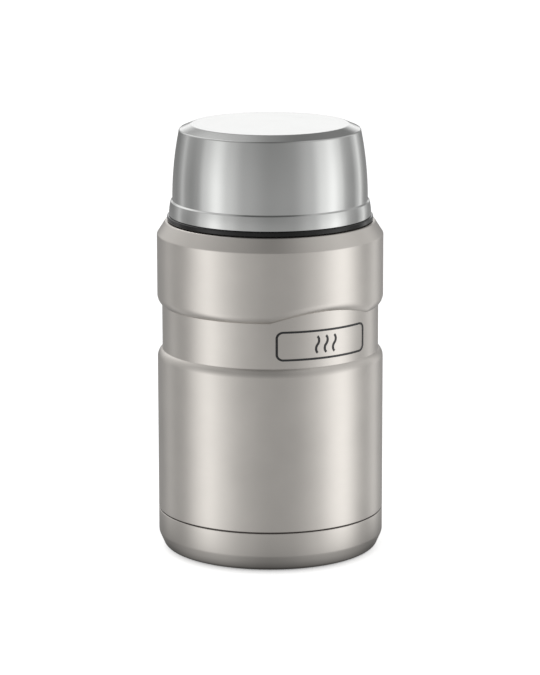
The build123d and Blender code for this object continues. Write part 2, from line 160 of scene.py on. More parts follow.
class FoodJarSizes(bpy.types.PropertyGroup):
    """Sizes of the jar itself."""

    body_radius: length("Body radius", FOOT_HIGH.x, "Outer radius of the body")
    shell_wall: length("Shell wall", 0.0006, "Thickness of the outer steel")
    foot_recess: length("Foot recess", 0.0012, "Height of the hollow under the foot")
    foot_rim: length("Foot rim", 0.0081, "Width of the ring that the jar stands on")
    foot_bevel_width: length("Foot bevel width", 0.0029, "How far the foot is set in")
    foot_bevel_height: length("Foot bevel height", 0.0066, "Height of the foot's bevel")
    base_top: length("Base cup top", FOOT_HIGH.z, "Top edge of the base cup")
    seam_gap: length("Seam gap", 0.0005, "Height of the open seam over the base cup")
    skirt_radius: length("Skirt radius", 0.0488, "Radius of the shell inside the base cup")
    waist_depth: length("Waist depth", 0.0021, "How far the waist is set in")
    waist_start: length("Waist start", 0.0878, "Level where the body turns in")
    waist_bottom: length("Waist bottom", 0.0893, "Level where the waist begins")
    band_bottom: length("Band bottom", 0.1092, "Level of the step under the band")
    band_ledge: length("Band ledge", 0.0002, "Width of the flat step under the band")
    band_edge: length("Band edge", 0.0015, "Height of the band's sloping lower edge")
    band_top: length("Band top", 0.14, "Level where the shoulder begins")
    arch_width: length("Arch width", 0.0475, "Width of the arch over the badge")
    arch_rise: length("Arch rise", 0.0042, "Height of the arch over the badge")
    shoulder_radius: length("Shoulder radius", 0.0457, "Radius at the top of the shoulder")
    shoulder_top: length("Shoulder top", 0.1459, "Level of the shoulder's flat top")
    neck_radius: length("Neck radius", 0.0389, "Outer radius of the threaded neck")
    neck_top: length("Neck top", SHELL_HIGH.z, "Top of the outer steel's neck")
    neck_thread: length("Neck thread level", 0.1506, "Level where the neck's ridges start")


class FoodJarVessel(bpy.types.PropertyGroup):
    """Sizes of the vessel that holds the food."""

    wall: length("Vessel wall", 0.0005, "Thickness of the inner steel")
    radius: length("Well radius", 0.043, "Radius of the food well")
    floor: length("Well floor", 0.015, "Level of the well's floor")
    floor_corner: length("Floor corner", 0.012, "Radius between floor and wall")
    seam: length("Vessel seam", VESSEL_LOW.z, "Level where the bottom is welded on")
    shoulder: length("Vessel shoulder", 0.132, "Level where the wall turns in")
    throat_radius: length("Throat radius", 0.0332, "Radius of the throat")
    throat_bottom: length("Throat bottom", 0.1445, "Level where the throat begins")
    seat: length("Seat", 0.148, "Level of the gasket's seat")
    mouth_radius: length("Mouth radius", 0.0367, "Inner radius of the mouth")
    lip: length("Lip", VESSEL_HIGH.z, "Level of the lip")
    mouth_thread: length("Mouth thread level", 0.15345, "Level where the mouth's ridges start")


class FoodJarThread(bpy.types.PropertyGroup):
    """Sizes that all four threads share."""

    starts: IntProperty(name="Starts", description="Ridges round each thread", default=3, min=1)
    rise: length("Rise", 0.005, "Rise of a ridge over its sweep")
    sweep: FloatProperty(
        name="Sweep",
        description="Turn of each ridge",
        default=math.radians(150),
        subtype="ANGLE",
    )
    height: length("Height", 0.0011, "How far a ridge stands proud")
    root: length("Root width", 0.0023, "Width of a ridge at the wall")
    crest: length("Crest width", 0.0012, "Width of a ridge at its crest")
    sink: length("Sink", 0.00025, "How far a ridge is sunk in the wall")
    run_out: length("Run out", 0.0022, "Length over which a ridge fades out")


class FoodJarStopper(bpy.types.PropertyGroup):
    """Sizes of the stopper."""

    plug_bore: length("Plug bore", 0.0313, "Inner radius of the plug")
    plug_radius: length("Plug radius", CAP_HIGH.x, "Outer radius of the plug")
    bottom: length("Plug wall bottom", BODY_LOW.z, "Level of the plug wall's lower edge")
    gasket_top: length("Gasket top", GASKET_HIGH.z, "Level of the gasket's top")
    radius: length("Stopper radius", 0.0353, "Radius of the threaded wall")
    flange_radius: length("Flange radius", 0.0385, "Radius of the flange over the lip")
    flange_bottom: length("Flange bottom", 0.1633, "Level under the flange")
    flange_top: length("Flange top", BODY_HIGH.z, "Level on top of the flange")
    thread: length("Stopper thread level", 0.15145, "Level where the ridges start")
    rim_top: length("Grip rim top", 0.1685, "Level of the grip's fluted rim")
    rim_width: length("Grip rim width", 0.005, "Width of the grip's fluted rim")
    recess_floor: length("Recess floor", 0.1663, "Level of the finger recess")
    bar_width: length("Bar width", 0.013, "Width of the bar across the recess")
    bar_edge: length("Bar edge", 0.0015, "Rounding of the bar's top edge")
    flutes: IntProperty(name="Flutes", description="Flutes round the rim", default=36, min=3)
    flute_depth: length("Flute depth", 0.0007, "Depth of each flute")


class FoodJarCup(bpy.types.PropertyGroup):
    """Sizes of the cup that closes the jar."""

    wall: length("Cup wall", 0.0005, "Thickness of the cup's steel")
    mouth_radius: length("Cup mouth radius", 0.04415, "Radius at the cup's lower edge")
    skirt_radius: length("Skirt radius", 0.0434, "Radius at the top of the flared skirt")
    side_radius: length("Side radius", 0.04265, "Radius at the foot of the tall side")
    shoulder_radius: length("Cup shoulder radius", 0.03955, "Radius at the top of the side")
    top_radius: length("Top radius", 0.0342, "Radius of the flat top")
    step: length("Step", 0.1545, "Level of the step over the skirt")
    side_bottom: length("Side bottom", 0.1551, "Level where the tall side begins")
    shoulder: length("Cup shoulder", 0.1859, "Level where the side turns in")
    rim_bore: length("Rim bore", 0.0403, "Inner radius of the black rim")
    rim_neck: length("Rim neck", 0.04185, "Outer radius of the rim inside the cup")
    bowl_seat: length("Bowl seat", 0.041, "Radius of the bowl's seat in the rim")
    bowl_radius: length("Bowl radius", 0.0404, "Inner radius of the bowl's mouth")
    bowl_floor_radius: length("Bowl floor radius", 0.0381, "Inner radius of the bowl's floor")
    bowl_floor: length("Bowl floor", 0.1847, "Level of the bowl's floor")
    bowl_corner: length("Bowl corner", 0.006, "Radius between the bowl's wall and floor")
    groove: length("Bond groove", 0.1571, "Level of the groove for the bonding ring")
    groove_height: length("Bond groove height", 0.0014, "Height of that groove")
    groove_radius: length("Bond groove radius", 0.04115, "Radius at the groove's floor")
    thread: length("Cup thread level", 0.1486, "Level where the rim's ridges start")


class FoodJarColours(bpy.types.PropertyGroup):
    """Colours of the finishes."""

    satin_steel: colour("Satin steel", (0.685, 0.653, 0.613), "Warm satin steel of the body")
    bright_steel: colour("Bright steel", (0.595, 0.60, 0.59), "Cool bright steel of the cup")
    inner_steel: colour("Inner steel", (0.66, 0.66, 0.655), "Electropolished steel inside")
    black: colour("Black", (0.012, 0.012, 0.013), "Black plastic, silicone and enamel")


class FoodJarStudio(bpy.types.PropertyGroup):
    """Light and camera."""

    sky: FloatProperty(
        name="Surround", description="Level of the surround", default=1.0, min=0.0
    )
    lamp: FloatProperty(
        name="Lamp", description="Power of the overhead lamp", default=1.0, min=0.0, unit="POWER"
    )
    lens: FloatProperty(
        name="Lens", description="Focal length", default=178.55, min=1.0, unit="CAMERA"
    )


# Shaping


def deselect():
    """Nothing is selected, in object mode."""
    if bpy.context.object and bpy.context.object.mode != "OBJECT":
        bpy.ops.object.mode_set(mode="OBJECT")
    bpy.ops.object.select_all(action="DESELECT")


def edit(piece, select="NOTHING", kind="VERT"):
    """Opens piece in edit mode with all or nothing selected."""
    deselect()
    bpy.context.view_layer.objects.active = piece
    piece.select_set(True)
    bpy.ops.object.mode_set(mode="EDIT")
    bpy.ops.mesh.select_mode(type=kind)
    bpy.ops.mesh.select_all(action="SELECT" if select == "ALL" else "DESELECT")


def pick(piece, wanted, kind="VERT"):
    """Opens piece in edit mode with the vertices, edges or faces selected that wanted accepts.

    wanted is given a vertex's place, an edge's two places or a face.
    """
    edit(piece, kind=kind)
    bpy.ops.object.mode_set(mode="OBJECT")
    mesh = piece.data
    place = piece.matrix_world
    if kind == "VERT":
        for v in mesh.vertices:
            v.select = wanted(place @ v.co)
    elif kind == "EDGE":
        for e in mesh.edges:
            e.select = wanted(*(place @ mesh.vertices[i].co for i in e.vertices))
    else:
        for f in mesh.polygons:
            f.select = wanted(f)
    bpy.ops.object.mode_set(mode="EDIT")


def apply_modifier(piece, kind, **settings):
    """Adds a modifier with these settings and applies it."""
    deselect()
    bpy.context.view_layer.objects.active = piece
    piece.select_set(True)
    modifier = piece.modifiers.new(kind.title(), kind)
    for name, value in settings.items():
        setattr(modifier, name, value)
    bpy.ops.object.modifier_apply(modifier=modifier.name)


def trace(name, path, rounds=None, closed=False, longest=0.004):
    """A line of (radius, height) corners in the XZ plane, as a new object.

    rounds gives a radius for corners by their number in path. Long runs are divided, so that
    smooth shading stays true along them.
    """
    deselect()
    radius, height = path[0]
    bpy.ops.mesh.primitive_plane_add(size=0.001, location=(radius, 0, height))
    piece = bpy.context.object
    piece.name = piece.data.name = name
    edit(piece, "ALL")
    bpy.ops.mesh.merge(type="CENTER")
    for r, z in path[1:]:
        bpy.ops.mesh.extrude_region_move(
            TRANSFORM_OT_translate={"value": (r - radius, 0, z - height)}
        )
        radius, height = r, z
    if closed:
        ends = path[0], path[-1]
        pick(piece, lambda at: any(near(at, end) for end in ends))
        bpy.ops.mesh.edge_face_add()
    bpy.ops.object.mode_set(mode="OBJECT")
    bpy.ops.object.transform_apply(location=True, rotation=True, scale=True)
    for number, size in (rounds or {}).items():
        before, corner, after = (path[(number + k) % len(path)] for k in (-1, 0, 1))
        way_in = math.atan2(corner[1] - before[1], corner[0] - before[0])
        way_out = math.atan2(after[1] - corner[1], after[0] - corner[0])
        turn = abs(math.remainder(way_out - way_in, math.tau))
        pick(piece, lambda at, corner=corner: near(at, corner))
        bpy.ops.mesh.bevel(
            affect="VERTICES",
            offset=size * math.tan(turn / 2),
            segments=max(2, round(math.degrees(turn) / 9)),
        )
    for _ in range(8):
        pick(piece, lambda a, b: (a - b).length > longest, "EDGE")
        if not any(e.select for e in edges_now(piece)):
            break
        bpy.ops.mesh.subdivide(number_cuts=1)
    bpy.ops.object.mode_set(mode="OBJECT")
    return piece


def near(at, corner):
    """Whether a place in the XZ plane is this (radius, height) corner."""
    return abs(at.x - corner[0]) + abs(at.z - corner[1]) < SAME_PLACE


def edges_now(piece):
    """The piece's edges, with the selection made in edit mode."""
    piece.update_from_editmode()
    return piece.data.edges


def spin(piece, steps, inwards=False):
    """Spins a traced line once about Z, closes it, and turns its faces outwards."""
    edit(piece, "ALL")
    bpy.ops.mesh.spin(steps=steps, angle=math.tau, center=(0, 0, 0), axis=(0, 0, 1))
    bpy.ops.mesh.select_all(action="SELECT")
    bpy.ops.mesh.remove_doubles(threshold=SAME_PLACE)
    bpy.ops.mesh.normals_make_consistent(inside=False)
    bpy.ops.object.mode_set(mode="OBJECT")
    widest = max(piece.data.polygons, key=lambda f: f.center.xy.length)
    if (widest.normal.xy.dot(widest.center.xy) < 0) != inwards:
        edit(piece, "ALL")
        bpy.ops.mesh.flip_normals()
        bpy.ops.object.mode_set(mode="OBJECT")


def thicken(piece, wall):
    """Gives a spun sheet its wall, behind the faces that it has."""
    apply_modifier(piece, "SOLIDIFY", thickness=wall, offset=-1.0, use_even_offset=True)


def soften(piece, wanted, width, segments):
    """Bevels the edges that wanted accepts."""
    pick(piece, wanted, "EDGE")
    bpy.ops.mesh.bevel(offset=width, segments=segments, affect="EDGES")
    bpy.ops.object.mode_set(mode="OBJECT")


def bow(start, end, steps):
    """Corners of the arc that leaves start straight up and ends at end."""
    dr, dz = end[0] - start[0], end[1] - start[1]
    radius = (dr * dr + dz * dz) / (2 * dr)
    sweep = math.asin(dz / abs(radius))
    return [
        (
            start[0] + radius * (1 - math.cos(sweep * k / steps)),
            start[1] + abs(radius) * math.sin(sweep * k / steps),
        )
        for k in range(steps + 1)
    ]


def ridges(name, root, outwards, level):
    """The ridges of one thread on a wall of this radius, as one object."""
    t = bpy.context.scene.food_jar_thread
    sunk, crest = root - outwards * t.sink, root + outwards * t.height
    piece = trace(
        name,
        [
            (sunk, level - t.root / 2),
            (crest, level - t.crest / 2),
            (crest, level + t.crest / 2),
            (sunk, level + t.root / 2),
        ],
        {1: RIDGE_ROUNDING, 2: RIDGE_ROUNDING},
        closed=True,
        longest=1.0,
    )
    apply_modifier(
        piece,
        "SCREW",
        angle=t.sweep,
        screw_offset=t.rise,
        steps=RIDGE_STEPS,
        render_steps=RIDGE_STEPS,
        use_merge_vertices=False,
    )
    slope = t.rise / (t.sweep * root)
    for angle, way in ((0.0, -1), (t.sweep, 1)):
        along = (-math.sin(angle) * way, math.cos(angle) * way, slope * way)
        tip_height = level + t.rise * angle / t.sweep
        edge_of = (math.cos(angle), math.sin(angle))
        pick(
            piece,
            lambda at, e=edge_of: abs(at.x * e[1] - at.y * e[0]) < SAME_LEVEL
            and at.x * e[0] + at.y * e[1] > 0,
        )
        bpy.ops.mesh.edge_face_add()
        bpy.ops.mesh.extrude_region_move(
            TRANSFORM_OT_translate={"value": tuple(t.run_out * c for c in along)}
        )
        far = sunk - outwards * t.sink
        pivot = (
            edge_of[0] * far + along[0] * t.run_out,
            edge_of[1] * far + along[1] * t.run_out,
            tip_height + along[2] * t.run_out,
        )
        bpy.ops.transform.resize(value=RIDGE_TAPER, center_override=pivot)
    bpy.ops.mesh.select_all(action="SELECT")
    bpy.ops.mesh.normals_make_consistent(inside=False)
    for _ in range(t.starts - 1):
        bpy.ops.mesh.duplicate()
        bpy.ops.transform.rotate(
            value=math.tau / t.starts, orient_axis="Z", center_override=(0, 0, 0)
        )
    bpy.ops.object.mode_set(mode="OBJECT")
    return piece


def join(piece, other):
    """Joins other into piece."""
    deselect()
    other.select_set(True)
    piece.select_set(True)
    bpy.context.view_layer.objects.active = piece
    bpy.ops.object.join()


def finish(piece, node, body, slot):
    """Smooths a finished piece, gives it its finish and its body, and hides the node it stands
    for.
    """
    deselect()
    bpy.context.view_layer.objects.active = piece
    piece.select_set(True)
    bpy.ops.object.shade_smooth_by_angle(angle=SHARP_EDGE)
    apply_modifier(piece, "WEIGHTED_NORMAL", keep_sharp=True, weight=60)
    piece.data.materials.clear()
    piece.data.materials.append(finish_for(slot))
    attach(piece, body)
    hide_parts(node)


def dress(node, material):
    """Smooths a node that keeps its own shape, and gives it its finish."""
    piece = frame["nodes"][node]
    deselect()
    bpy.context.view_layer.objects.active = piece
    piece.select_set(True)
    bpy.ops.object.shade_smooth()
    weld = piece.modifiers.new("Weld", "WELD")
    weld.merge_threshold = SAME_PLACE
    split = piece.modifiers.new("Edges", "EDGE_SPLIT")
    split.split_angle = SHARP_EDGE
    if piece.material_slots:
        for place in piece.material_slots:
            place.material = material
    else:
        piece.data.materials.append(material)


# Finishes


def new_material(name):
    """A material of this name, with its tree and its shader."""
    material = bpy.data.materials.new(name)
    material.use_nodes = True
    return material, material.node_tree, material.node_tree.nodes["Principled BSDF"]


def add(tree, kind, **settings):
    """Adds a node and sets its properties."""
    node = tree.nodes.new(kind)
    for name, value in settings.items():
        setattr(node, name, value)
    return node


def put(tree, value, socket):
    """Links a socket's value, or sets a number."""
    if isinstance(value, bpy.types.NodeSocket):
        tree.links.new(value, socket)
    else:
        socket.default_value = value


def math_node(tree, operation, a, b):
    """The output of a Math node on two numbers or sockets."""
    node = add(tree, "ShaderNodeMath", operation=operation)
    for socket, value in zip(node.inputs, (a, b)):
        put(tree, value, socket)
    return node.outputs[0]


def mix_values(tree, share, first, second):
    """The output of a mix of two numbers or sockets."""
    node = add(tree, "ShaderNodeMix", data_type="FLOAT")
    tree.links.new(share, node.inputs[0])
    put(tree, first, node.inputs[2])
    put(tree, second, node.inputs[3])
    return node.outputs[0]


def noise(tree, vector, scale, detail=2.0, roughness=0.5):
    """The output of a Noise node."""
    node = add(tree, "ShaderNodeTexNoise")
    tree.links.new(vector, node.inputs["Vector"])
    node.inputs["Scale"].default_value = scale
    node.inputs["Detail"].default_value = detail
    node.inputs["Roughness"].default_value = roughness
    return node.outputs["Fac"]


def spread(tree, value, low, high, from_low=0.3, from_high=0.7):
    """Maps a value's usual range to low and high."""
    node = add(tree, "ShaderNodeMapRange", clamp=True)
    tree.links.new(value, node.inputs["Value"])
    for name, number in (
        ("From Min", from_low),
        ("From Max", from_high),
        ("To Min", low),
        ("To Max", high),
    ):
        node.inputs[name].default_value = number
    return node.outputs["Result"]


def blend_colours(tree, factor, first, second):
    """The output of a colour mix."""
    node = add(tree, "ShaderNodeMix", data_type="RGBA")
    tree.links.new(factor, node.inputs["Factor"])
    for socket, value in zip([s for s in node.inputs if s.type == "RGBA"], (first, second)):
        socket.default_value = (*value, 1.0)
    return next(s for s in node.outputs if s.type == "RGBA")


def bump(tree, shader, height, strength, distance):
    """Gives the shader a bump."""
    node = add(tree, "ShaderNodeBump")
    node.inputs["Strength"].default_value = strength
    node.inputs["Distance"].default_value = distance
    tree.links.new(height, node.inputs["Height"])
    tree.links.new(node.outputs["Normal"], shader.inputs["Normal"])


def ring(tree, bearing, stops):
    """A level for each angle round the jar, measured from the camera's side."""
    most = max(level for angle, level in stops)
    node = add(tree, "ShaderNodeValToRGB")
    tree.links.new(bearing, node.inputs["Fac"])
    ramp = node.color_ramp
    ramp.interpolation = "EASE"
    while len(ramp.elements) < len(stops):
        ramp.elements.new(0.5)
    for element, (angle, level) in zip(ramp.elements, stops):
        element.position = angle / 360 + 0.5
        element.color = (*[level / most] * 3, 1.0)
    return math_node(tree, "MULTIPLY", node.outputs["Color"], most)


def bearing_of(tree, vector):
    """A vector turned so that the camera's side is +X, and its angle round the jar."""
    turn = add(tree, "ShaderNodeMapping", vector_type="POINT")
    turn.inputs["Rotation"].default_value = (0, 0, CAMERA_BEARING)
    tree.links.new(vector, turn.inputs["Vector"])
    angle = add(tree, "ShaderNodeTexGradient", gradient_type="RADIAL")
    tree.links.new(turn.outputs["Vector"], angle.inputs["Vector"])
    return turn.outputs["Vector"], angle.outputs["Fac"]


def flattened(tree, parts):
    """A place without its height, and its distance from the axis."""
    flat = add(tree, "ShaderNodeCombineXYZ")
    tree.links.new(parts.outputs["X"], flat.inputs["X"])
    tree.links.new(parts.outputs["Y"], flat.inputs["Y"])
    radius = add(tree, "ShaderNodeVectorMath", operation="LENGTH")
    tree.links.new(flat.outputs[0], radius.inputs[0])
    return flat.outputs[0], radius.outputs["Value"]


def turned_place(tree, around, along):
    """Coordinates of lathe lines: they change fast along the profile and slowly around it."""
    place = add(tree, "ShaderNodeTexCoord").outputs["Object"]
    parts = add(tree, "ShaderNodeSeparateXYZ")
    tree.links.new(place, parts.inputs[0])
    radius = flattened(tree, parts)[1]
    inwards = math_node(tree, "MULTIPLY", radius, 0.6)
    profile = math_node(tree, "SUBTRACT", parts.outputs["Z"], inwards)
    lines = add(tree, "ShaderNodeCombineXYZ")
    tree.links.new(math_node(tree, "MULTIPLY", parts.outputs["X"], around), lines.inputs["X"])
    tree.links.new(math_node(tree, "MULTIPLY", parts.outputs["Y"], around), lines.inputs["Y"])
    tree.links.new(math_node(tree, "MULTIPLY", profile, along), lines.inputs["Z"])
    return place, lines.outputs[0]


def steel(name, base, rough, grain, tint=0.04):
    """Steel with fine lathe lines, slight clouding and faint wear."""
    material, tree, shader = new_material(name)
    place, lines = turned_place(tree, 60.0, 5200.0)
    fine = noise(tree, lines, 1.0, 3.0, 0.6)
    cloud = noise(tree, place, 55.0, 3.0, 0.55)
    dark = tuple(c * (1 - tint) for c in base)
    light = tuple(min(1.0, c * (1 + tint * 0.5)) for c in base)
    tree.links.new(
        blend_colours(tree, spread(tree, cloud, 0.0, 1.0), dark, light),
        shader.inputs["Base Color"],
    )
    rough_lines = spread(tree, fine, rough - grain, rough + grain)
    rough_cloud = spread(tree, cloud, -0.012, 0.012)
    tree.links.new(math_node(tree, "ADD", rough_lines, rough_cloud), shader.inputs["Roughness"])
    bump(tree, shader, fine, 0.05, 0.00001)
    shader.inputs["Metallic"].default_value = 1.0
    return material


def plastic(name, base, rough, pebble, size, coat=0.0, shine=0.5):
    """Moulded plastic or rubber with a fine texture."""
    material, tree, shader = new_material(name)
    place = add(tree, "ShaderNodeTexCoord").outputs["Object"]
    grain = noise(tree, place, size, 3.0, 0.55)
    cloud = noise(tree, place, 70.0, 2.0)
    lighter = tuple(min(1.0, c * 1.5 + 0.004) for c in base)
    tree.links.new(
        blend_colours(tree, spread(tree, cloud, 0.0, 1.0), base, lighter),
        shader.inputs["Base Color"],
    )
    tree.links.new(spread(tree, grain, rough - 0.06, rough + 0.06), shader.inputs["Roughness"])
    bump(tree, shader, grain, pebble, 0.00005)
    shader.inputs["Coat Weight"].default_value = coat
    shader.inputs["Specular IOR Level"].default_value = shine
    return material


def all_finishes():
    """Every finish, by the record's slot."""
    c = bpy.context.scene.food_jar_colours
    black = tuple(c.black)
    return {
        "satin_steel": steel("satin_steel", tuple(c.satin_steel), 0.33, 0.02),
        "polished_steel": steel("bright_steel", tuple(c.bright_steel), 0.16, 0.02, 0.02),
        "inner_steel": steel("inner_steel", tuple(c.inner_steel), 0.24, 0.05),
        "foil": steel("foil", (0.86, 0.86, 0.88), 0.2, 0.08, 0.08),
        "getter": plastic("getter_powder", (0.10, 0.10, 0.11), 0.8, 0.5, 2500.0),
        "solder": plastic("sealing_glass", (0.30, 0.30, 0.27), 0.2, 0.1, 900.0, 0.6),
        "sealant": plastic("seam_sealant", (0.03, 0.022, 0.02), 0.6, 0.3, 1500.0),
        "enamel": plastic("enamel", black, 0.35, 0.06, 2200.0, 0.2),
        "silicone": plastic("silicone", black, 0.55, 0.15, 1800.0),
        "black_plastic": plastic("black_plastic", (0.018, 0.018, 0.019), 0.42, 0.35, 2600.0),
        "gloss_black": plastic("gloss_black", (0.006,) * 3, 0.16, 0.03, 1500.0, shine=0.35),
        "foam": plastic("foam", (0.80, 0.79, 0.74), 0.9, 0.6, 1400.0),
    }


FINISHES = {}


def finish_for(slot):
    """The finish of this slot, made when it is first asked for."""
    if not FINISHES:
        FINISHES.update(all_finishes())
    return FINISHES[slot]


# Pieces


class FoodJarOperator:
    """What the piece operators share."""

    bl_options = {"REGISTER", "UNDO"}


class FOODJAR_OT_base_cup(FoodJarOperator, bpy.types.Operator):
    """Add the steel cup that closes the foot of the jar"""

    bl_idname = "food_jar.base_cup"
    bl_label = "Base cup"

    def execute(self, context):
        s = context.scene.food_jar_sizes
        recess = s.body_radius - s.foot_bevel_width - s.foot_rim
        piece = trace(
            "base_cup_steel",
            [
                (0.0, s.foot_recess),
                (recess - s.foot_recess, s.foot_recess),
                (recess, 0.0),
                (s.body_radius - s.foot_bevel_width, 0.0),
                (s.body_radius, s.foot_bevel_height),
                (s.body_radius, s.base_top),
            ],
            {1: 0.0012, 2: 0.0012, 3: 0.003, 4: 0.003},
        )
        spin(piece, BASE_STEPS)
        thicken(piece, s.shell_wall)
        soften(
            piece,
            lambda a, b: min(a.z, b.z) > s.base_top - SAME_LEVEL
            and min(a.xy.length, b.xy.length) > s.body_radius - SAME_WALL,
            HEM_RADIUS,
            HEM_SEGMENTS,
        )
        finish(piece, "base_cup", "jar", "satin_steel")
        return {"FINISHED"}


class FOODJAR_OT_outer_shell(FoodJarOperator, bpy.types.Operator):
    """Add the outer shell with its waist, its arched band, its shoulder and its threaded neck"""

    bl_idname = "food_jar.outer_shell"
    bl_label = "Outer shell"

    def execute(self, context):
        s = context.scene.food_jar_sizes
        seam = s.base_top + s.seam_gap
        waist = s.body_radius - s.waist_depth
        piece = trace(
            "outer_shell_steel",
            [
                (s.skirt_radius, SHELL_LOW.z),
                (s.skirt_radius, seam),
                (s.body_radius, seam),
                (s.body_radius, s.waist_start),
                (waist, s.waist_bottom),
                (waist, s.band_bottom),
                (waist + s.band_ledge, s.band_bottom),
                (s.body_radius, s.band_bottom + s.band_edge),
                (s.body_radius, s.band_top),
                (s.shoulder_radius, s.shoulder_top),
                (s.neck_radius, s.shoulder_top),
                (s.neck_radius, s.neck_top),
            ],
            {2: 0.0003, 3: 0.0045, 4: 0.0004, 7: 0.0048, 8: 0.001, 9: 0.001, 10: 0.001},
            longest=SHELL_ROW,
        )
        spin(piece, OUTER_STEPS)
        self.lift_band(piece, s, waist)
        thicken(piece, s.shell_wall)
        join(piece, ridges("neck_ridges", s.neck_radius, 1, s.neck_thread))
        finish(piece, "outer_shell", "jar", "satin_steel")
        return {"FINISHED"}

    def lift_band(self, piece, s, waist):
        """Lifts the step under the band into an arch at the front."""
        group = piece.vertex_groups.new(name="arch")
        end = math.asin(s.arch_width / 2 / (waist + s.band_ledge))
        end = math.tau / OUTER_STEPS * round(end * OUTER_STEPS / math.tau)
        middle = (s.band_bottom + s.band_top) / 2
        edge_top = s.band_bottom + s.band_edge + SHELL_ROW
        waist_row = s.band_bottom - 0.001
        for v in piece.data.vertices:
            across = abs(v.co.x) / v.co.xy.length / math.sin(end)
            if v.co.y > 0 or across > 0.9999 or not waist_row < v.co.z < middle:
                continue
            rows = 1.0
            if v.co.z > edge_top:
                rows = 1 - (v.co.z - edge_top) / (middle - edge_top)
            group.add([v.index], (1 - across**2) * rows, "REPLACE")
        apply_modifier(
            piece,
            "DISPLACE",
            direction="Z",
            mid_level=0.0,
            strength=s.arch_rise,
            vertex_group="arch",
        )
        piece.vertex_groups.clear()


class FOODJAR_OT_vessel(FoodJarOperator, bpy.types.Operator):
    """Add the vessel that holds the food, and its welded bottom"""

    bl_idname = "food_jar.vessel"
    bl_label = "Food vessel"

    def execute(self, context):
        s = context.scene.food_jar_vessel
        neck = context.scene.food_jar_sizes.neck_radius
        wall = trace(
            "vessel_wall_steel",
            [
                (s.radius, s.seam),
                (s.radius, s.shoulder),
                (s.throat_radius, s.throat_bottom),
                (s.throat_radius, s.seat),
                (s.mouth_radius, s.seat),
                (s.mouth_radius, s.lip),
                (neck, s.lip),
            ],
            {1: 0.008, 2: 0.002, 3: 0.0006, 4: 0.0006, 5: 0.0006},
        )
        spin(wall, PLAIN_STEPS, inwards=True)
        thicken(wall, s.wall)
        join(wall, ridges("mouth_ridges", s.mouth_radius, -1, s.mouth_thread))
        finish(wall, "inner_vessel", "jar", "inner_steel")
        base = trace(
            "vessel_floor_steel",
            [(0.0, s.floor), (s.radius, s.floor), (s.radius, s.seam)],
            {1: s.floor_corner},
        )
        spin(base, PLAIN_STEPS, inwards=True)
        thicken(base, s.wall)
        finish(base, "vessel_base", "jar", "inner_steel")
        return {"FINISHED"}


